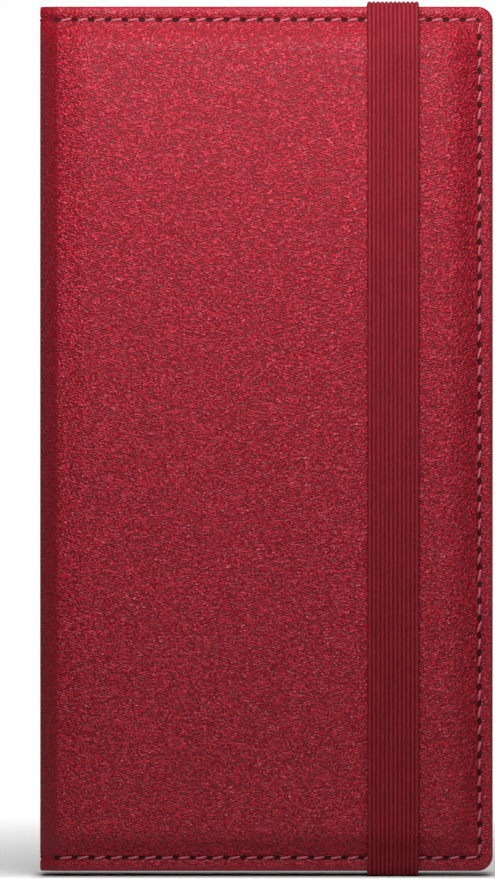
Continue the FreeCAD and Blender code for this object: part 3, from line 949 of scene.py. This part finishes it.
def use_group(t, group, **values):
    node = t.add("Group")
    node.node_tree = group
    for key, value in values.items():
        t.feed(node.inputs[key], value)
    return node.outputs


def paint(t, shader, tone, rough):
    """Links a colour and a roughness to the shader."""
    t.link(tone, shader.inputs["Base Color"])
    t.link(rough, shader.inputs["Roughness"])


def bump(t, shader, height, strength, distance):
    """Raises the surface by a height value times distance, in metres."""
    node = t.add("Bump")
    node.inputs["Strength"].default_value = strength
    node.inputs["Distance"].default_value = distance
    t.link(height, node.inputs["Height"])
    t.link(node.outputs["Normal"], shader.inputs["Normal"])


def leather_material(grain):
    """Wine-red grained leather, smoother and a little lighter along the turned edge. Its colour
    holds painted light: painted shade in the grain's valleys, along the seam's channel and over
    the fold, and painted pink highlights on the grain's ridges.
    """
    material, t, shader, where = start_material("wine_leather")
    out = use_group(t, grain, Vector=where, Wander=0.55)
    rim, ring, _ = t.xyz(t.add("UVMap", uv_map="along").outputs[0])
    seam = t.math("ABSOLUTE", t.math("SUBTRACT", ring, SEAM))
    seam_channel_shade = t.ramp(seam, 0.2, 0.8, 1.0, 0.0)
    from_fold = t.add("Attribute", attribute_name="from_fold").outputs["Fac"]
    fold = t.ramp(from_fold, -0.5, 0.1, 1.0, 0.0)
    # Painted shade and highlight: the grain's valleys get a dark tone and its ridge tops a light
    # pink one, standing in for the shade and highlights of the relief.
    deep = (0.185, 0.0034, 0.0095, 1)
    mid = (0.385, 0.0100, 0.0240, 1)
    high = (0.53, 0.0280, 0.0540, 1)
    tone = t.mix(t.ramp(out["Height"], 0.2, 0.5), deep, mid)
    tone = t.mix(t.ramp(out["Height"], 0.5, 0.85), tone, high)
    tone = t.mix(t.ramp(out["Patch"], 0.35, 0.7, 0.0, 0.08), tone, deep)
    # Painted shade: the leather is darkened along the seam's channel.
    tone = t.mix(t.math("MULTIPLY", seam_channel_shade, 0.45), tone, deep)
    tone = t.mix(t.math("MULTIPLY", rim, 0.5), tone, (0.37, 0.016, 0.03, 1))
    # Painted shade over the fold's turn, lighter at the spine's end.
    shaded = t.math("MULTIPLY", fold, t.ramp(from_fold, -4.0, -3.3, 0.2, 0.6))
    tone = t.mix(shaded, tone, (0.16, 0.0028, 0.0072, 1))
    paint(t, shader, tone, t.ramp(out["Height"], 0.1, 0.8, 0.38, 0.23))
    shader.inputs["Specular IOR Level"].default_value = 0.32
    shader.inputs["Specular Tint"].default_value = (1.0, 0.86, 1.0, 1.0)
    keep = t.math("SUBTRACT", 1.0, t.math("MULTIPLY", rim, 0.75))
    keep = t.math("MULTIPLY", keep, t.math("SUBTRACT", 1.0, t.math("MULTIPLY", fold, 0.6)))
    grain_height = t.math("MULTIPLY", out["Height"], keep)
    from_short = t.add("Attribute", attribute_name="from_short").outputs["Fac"]
    from_fore = t.math("SUBTRACT", RIGHT - FOLD_END, from_fold)
    swell = smooth_ramp(t, from_fore, SLOPE_FOOT - 0.8, SLOPE_TOP + 1.5)
    short_swell = smooth_ramp(t, from_short, SLOPE_FOOT - 0.4, SLOPE_TOP)
    swell = t.math("MULTIPLY_ADD", short_swell, 0.45, swell)
    swell = t.math("MULTIPLY_ADD", smooth_ramp(t, from_fold, -0.2, 5.5), 0.85, swell)
    height = t.math("MULTIPLY_ADD", swell, MM / GRAIN_DEPTH, grain_height)
    bump(t, shader, height, 1.0, GRAIN_DEPTH)
    return material


def smooth_ramp(t, value, low, high):
    """A value eased from 0 at low to 1 at high."""
    node = t.add("MapRange", interpolation_type="SMOOTHSTEP")
    for socket, number in zip(node.inputs, (value, low, high, 0.0, 1.0)):
        t.feed(socket, number)
    return node.outputs[0]


def elastic_material():
    """Woven elastic: each rib shows short slanting thread turns. The grooves are painted darker as
    shade and the rib tops lighter as a painted highlight.
    """
    material, t, shader, where = start_material("ribbed_elastic")
    across, run, _ = t.xyz(t.add("UVMap", uv_map="along").outputs[0])
    phase = t.math("MULTIPLY", across, RIBS * math.pi / STRAP_WIDTH)
    rib = t.math("ABSOLUTE", t.math("SINE", phase))
    noise = t.noise(where, 2600.0, 3.0, 0.6)
    turn = t.math("MULTIPLY_ADD", run, 2 * math.pi / 0.42, t.math("MULTIPLY", noise, 3.0))
    turn = t.math("ADD", turn, phase)
    twist = t.ramp(t.math("SINE", turn), -1.0, 1.0)
    # Painted shade and highlight: a dark tone in the grooves, a light one on the rib tops where
    # the thread turns catch light.
    groove = (0.125, 0.0020, 0.0065, 1)
    body = (0.22, 0.0068, 0.0160, 1)
    crest_highlight = (0.31, 0.021, 0.037, 1)
    tone = t.mix(t.ramp(rib, 0.15, 0.75), groove, body)
    light = t.math("MULTIPLY", t.ramp(rib, 0.6, 1.0), twist)
    tone = t.mix(t.math("MULTIPLY", light, 0.75), tone, crest_highlight)
    tone = t.mix(t.ramp(t.noise(where, 300.0, 2.0), 0.4, 0.7, 0.0, 0.25), tone, groove)
    paint(t, shader, tone, t.ramp(noise, 0.3, 0.7, 0.62, 0.85))
    shader.inputs["Specular IOR Level"].default_value = 0.2
    height = t.math("MULTIPLY_ADD", twist, 0.7, t.math("MULTIPLY", noise, 0.5))
    bump(t, shader, height, 0.7, 0.00009)
    return material


def thread_material():
    """Twisted sewing thread; the ply crests are painted pink as a highlight where it catches
    light.
    """
    material, t, shader, where = start_material("seam_thread")
    x, _, z = t.xyz(where)
    slant = t.math("ADD", x, t.math("MULTIPLY", z, 1.4))
    ply = t.ramp(t.math("SINE", t.math("MULTIPLY", slant, 2 * math.pi / 0.00034)), -1.0, 1.0)
    fuzz = t.noise(where, 5200.0, 2.0)
    tone = t.mix(ply, (0.34, 0.034, 0.055, 1), (0.62, 0.145, 0.185, 1))
    tone = t.mix(t.ramp(fuzz, 0.4, 0.75, 0.0, 0.4), tone, (0.30, 0.03, 0.05, 1))
    paint(t, shader, tone, t.ramp(fuzz, 0.3, 0.7, 0.5, 0.7))
    shader.inputs["Sheen Weight"].default_value = 0.25
    bump(t, shader, ply, 0.6, 0.00006)
    return material


def shade_material():
    """Painted shade for a needle hole: a dark, dull red patch for the shade where the leather is
    pulled down into it.
    """
    material, t, shader, where = start_material("needle_shade")
    speck = t.noise(where, 3000.0, 2.0)
    tone = t.mix(speck, (0.016, 0.0008, 0.0016, 1), (0.06, 0.0025, 0.005, 1))
    paint(t, shader, tone, t.ramp(speck, 0.3, 0.7, 0.7, 0.9))
    shader.inputs["Specular IOR Level"].default_value = 0.15
    return material


def cloth_material(name, weave, dark, light, count, rough=0.8):
    """Plain woven cloth with count threads per metre."""
    material, t, shader, where = start_material(name)
    out = use_group(t, weave, Vector=where, Count=count)
    cloud = t.noise(where, 160.0, 3.0)
    tone = t.mix(t.ramp(out["Height"], 0.4, 1.1), dark, light)
    tone = t.mix(t.ramp(cloud, 0.35, 0.7, 0.0, 0.2), tone, dark)
    paint(t, shader, tone, t.ramp(out["Height"], 0.3, 1.1, rough, rough - 0.15))
    bump(t, shader, out["Height"], 0.4, 0.00008)
    return material


LEAF_PITCH = 0.000095  # metres, as are the ruled lines' sizes
RULE_LOW, RULE_HIGH, RULE_PITCH, RULE_WIDTH = 0.0115, 0.1555, 0.0065, 0.00018


def page_material(fibre, name, ruled):
    """Cream paper. The cut edges show each leaf as a fine line; the faces are ruled."""
    material, t, shader, where = start_material(name)
    out = use_group(t, fibre, Vector=where)
    _, deep, height = t.xyz(where)
    _, facing, _ = t.xyz(t.add("TexCoord").outputs["Normal"])
    face = t.math("GREATER_THAN", t.math("ABSOLUTE", facing), 0.8)
    paper = t.mix(t.ramp(out["Cloud"], 0.3, 0.7), (0.80, 0.735, 0.60, 1), (0.86, 0.80, 0.68, 1))
    wander = t.math("MULTIPLY", t.noise(t.scaled(where, (1, 1, 0.2)), 420.0, 2.0), 0.0001)
    layer = t.math("ADD", deep, wander)
    line = t.math("SINE", t.math("MULTIPLY", layer, 2 * math.pi / LEAF_PITCH))
    leaf = t.ramp(line, -0.9, 0.1, 0.0, 1.0)
    shade = t.noise(t.scaled(where, (0.2, 9.0, 0.2)), 1100.0, 2.0)
    cut = t.mix(leaf, (0.36, 0.30, 0.22, 1), (0.80, 0.74, 0.61, 1))
    cut = t.mix(t.ramp(shade, 0.35, 0.7, 0.0, 0.5), cut, (0.56, 0.49, 0.37, 1))
    tone = t.mix(face, cut, paper)
    if ruled:
        row = t.math("MODULO", t.math("SUBTRACT", height, RULE_LOW), RULE_PITCH)
        on = t.math("LESS_THAN", row, RULE_WIDTH)
        inside = t.math("LESS_THAN", height, RULE_HIGH)
        inside = t.math("MULTIPLY", inside, t.math("GREATER_THAN", height, RULE_LOW))
        on = t.math("MULTIPLY", t.math("MULTIPLY", on, inside), face)
        tone = t.mix(t.math("MULTIPLY", on, 0.6), tone, (0.36, 0.37, 0.42, 1))
    paint(t, shader, tone, t.ramp(out["Height"], 0.3, 0.7, 0.8, 0.92))
    shader.inputs["Specular IOR Level"].default_value = 0.2
    grooves = t.math("MULTIPLY", leaf, t.math("SUBTRACT", 1.0, face))
    relief = t.math("MULTIPLY_ADD", grooves, 0.6, t.math("MULTIPLY", out["Height"], 0.12))
    bump(t, shader, relief, 0.25, 0.00004)
    return material


def rough_material(name, dark, light, scale, rough, depth):
    """A matt sheet with two tones in fine mottles, for board, foam, kraft paper and thread."""
    material, t, shader, where = start_material(name)
    speck = t.noise(where, scale, 4.0, 0.6)
    cells = t.voronoi(where, scale * 0.7)
    tone = t.mix(t.ramp(speck, 0.3, 0.7), dark, light)
    paint(t, shader, tone, t.ramp(speck, 0.3, 0.7, rough, rough - 0.1))
    bump(t, shader, t.math("ADD", speck, cells), 0.4, depth)
    return material


# Name, darker and lighter tone, scale of the mottles, roughness and depth of relief in metres.
MOTTLED = {
    "board": ("grey_board", (0.22, 0.19, 0.15, 1), (0.36, 0.32, 0.26, 1), 1500.0, 0.9, 0.0001),
    "foam": ("cream_foam", (0.62, 0.58, 0.48, 1), (0.80, 0.77, 0.68, 1), 2600.0, 0.95, 0.0001),
    "kraft": ("kraft_paper", (0.29, 0.19, 0.105, 1), (0.42, 0.29, 0.17, 1), 1900.0, 0.85, 0.00005),
    "sewing_thread": (
        "linen_thread", (0.62, 0.57, 0.46, 1), (0.84, 0.80, 0.70, 1), 3800.0, 0.8, 0.00005
    ),
}


def build_materials():
    grain, weave, fibre = leather_grain_group(), weave_group(), paper_group()
    return {
        "leather": leather_material(grain),
        "elastic": elastic_material(),
        "thread": thread_material(),
        "needle_shade": shade_material(),
        "lining": cloth_material(
            "wine_lining", weave, (0.085, 0.006, 0.012, 1), (0.20, 0.022, 0.036, 1), 3400.0
        ),
        "mull": cloth_material(
            "open_mull", weave, (0.48, 0.46, 0.40, 1), (0.82, 0.80, 0.73, 1), 1100.0
        ),
        "tail": cloth_material(
            "strap_end", weave, (0.085, 0.003, 0.006, 1), (0.24, 0.012, 0.022, 1), 2400.0
        ),
        "page": page_material(fibre, "cream_paper", True),
        "flyleaf": page_material(fibre, "flyleaf_paper", False),
        **{key: rough_material(*values) for key, values in MOTTLED.items()},
    }


def dress_nodes():
    """The CAD nodes that stay get the material of what they are."""
    kinds = {
        "page": [f"signature_{i}" for i in range(1, 9)],
        "flyleaf": ["front_flyleaf", "back_flyleaf"],
        "board": ["front_cover_board", "back_cover_board", "spine_stiffener"],
        "tail": ["strap_tail_top", "strap_tail_bottom"],
    }
    for kind, names in kinds.items():
        for name in names:
            mesh = NODES[name].data
            mesh.materials.clear()
            mesh.materials.append(MATERIALS[kind])


# ---------------------------------------------------------------- stage, light and camera


def make_stage():
    """A pale floor. It glows white to the camera away from the notebook; near it the glow falls
    off into a painted soft shadow and under it the glow is nil, a painted contact shadow. The fall
    is drawn together in front, where it is seen end on."""
    size = 3000.0
    points = [(-size, -size, 0), (size, -size, 0), (size, size, 0), (-size, size, 0)]
    floor = new_piece("floor", points, [(0, 1, 2, 3)], smooth=False)
    material, t, shader, where = start_material("pale_floor")
    tone = t.mix(t.noise(where, 3.0), (0.62, 0.62, 0.62, 1), (0.64, 0.64, 0.64, 1))
    t.link(tone, shader.inputs["Base Color"])
    shader.inputs["Roughness"].default_value = 0.7
    x, y, _ = t.xyz(where)
    ahead = t.math("MULTIPLY", t.math("MINIMUM", y, 0.0), 10.0)
    squeezed = t.add("CombineXYZ")
    t.link(x, squeezed.inputs[0])
    t.link(t.math("ADD", ahead, t.math("MAXIMUM", y, 0.0)), squeezed.inputs[1])
    away = t.add("VectorMath", operation="LENGTH")
    t.link(squeezed.outputs[0], away.inputs[0])
    # Painted shadow: the glow is low near the notebook and rises to white farther off.
    glow = t.ramp(away.outputs["Value"], 0.045, 0.34, 0.24, 1.0)
    # Painted contact shadow: no glow under the notebook's footprint.
    under_x = t.ramp(t.math("ABSOLUTE", x), 0.043, 0.046)
    under_y = t.ramp(t.math("ABSOLUTE", y), 0.0095, 0.012)
    glow = t.math("MULTIPLY", glow, t.math("MAXIMUM", under_x, under_y))
    seen = t.math("MULTIPLY", glow, t.add("LightPath").outputs["Is Camera Ray"])
    t.link(t.grey(seen), shader.inputs["Emission Color"])
    shader.inputs["Emission Strength"].default_value = 1.0
    floor.data.materials.append(material)


def make_light(name, place, target, size, power):
    """A white rectangular lamp aimed at the target, in metres and watts."""
    lamp = bpy.data.lights.new(name, "AREA")
    lamp.shape = "RECTANGLE"
    lamp.size, lamp.size_y = size
    lamp.energy = power
    obj = bpy.data.objects.new(name, lamp)
    obj.location = place
    obj.rotation_euler = (Vector(target) - Vector(place)).to_track_quat("-Z", "Y").to_euler()
    bpy.context.scene.collection.objects.link(obj)


def make_world():
    """Bright from above and dark round the sides, white behind the object."""
    world = bpy.data.worlds.new("studio")
    bpy.context.scene.world = world
    world.use_nodes = True
    t = Tree(world.node_tree)
    background = world.node_tree.nodes["Background"]
    _, _, up = t.xyz(t.add("TexCoord").outputs["Generated"])
    dim = t.grey(t.ramp(up, 0.6, 1.0, 0.015, 0.2))
    seen = t.add("LightPath").outputs["Is Camera Ray"]
    t.link(t.mix(seen, dim, (1.0, 1.0, 1.0, 1)), background.inputs["Color"])


def make_lights():
    make_light("key", (0.0, -0.20, 0.23), (0, 0, 0.15), (0.16, 0.08), 0.59)
    make_light("top", (0.0, -0.10, 0.27), (0, 0, 0.14), (0.16, 0.08), 0.175)
    make_light("back_fill", (0.1, 1.25, 0.60), (0, 0, 0.05), (0.5, 0.25), 2.6)
    make_light("left_fill", (-0.9, 0.25, 0.30), (0, 0, 0.09), (0.4, 0.4), 0.5)
    make_light("right_fill", (0.9, 0.1, 0.30), (0, 0, 0.09), (0.4, 0.4), 0.5)


SENSOR = 36
VIEW_DISTANCE, VIEW_WIDTH = 1.6, 0.09597  # from the strap's face, and what is seen there
VIEW_X, VIEW_Z = -0.00368, 0.08486


def make_camera():
    """A long lens straight in front; the shift is nil, the camera is moved to frame it."""
    scene = bpy.context.scene
    data = bpy.data.cameras.new("camera")
    data.sensor_fit = "HORIZONTAL"
    data.sensor_width = SENSOR
    data.lens = SENSOR * VIEW_DISTANCE / VIEW_WIDTH
    data.clip_end = 20
    camera = bpy.data.objects.new("camera", data)
    camera.location = (VIEW_X, RUN_LOW[1] * MM - VIEW_DISTANCE, VIEW_Z)
    camera.rotation_euler = (math.pi / 2, 0, 0)
    scene.collection.objects.link(camera)
    scene.camera = camera


MATERIALS = build_materials()
make_camera()
make_stage()
make_world()
make_lights()
bpy.context.scene.view_settings.view_transform = "Standard"

make_cover_skin(FRONT)
make_cover_skin(BACK)
make_stitching("front_seam", stitch_places(FRONT), "front_cover_stitching", "front_cover", 11)
make_stitching("back_seam", stitch_places(BACK), "back_cover_stitching", "back_cover", 12)
make_stitching("spine_seam", spine_places(), "spine_stitching", "spine", 13)
make_strap()
make_lining(FRONT)
make_lining(BACK)
make_bent_strip("mull_strip", "spine_mull", "mull", 0.02)
make_bent_strip("kraft_strip", "spine_kraft", "kraft")
make_sewing()
for leaf_number in (1, 2, 3):
    make_leaf(leaf_number)
dress_nodes()
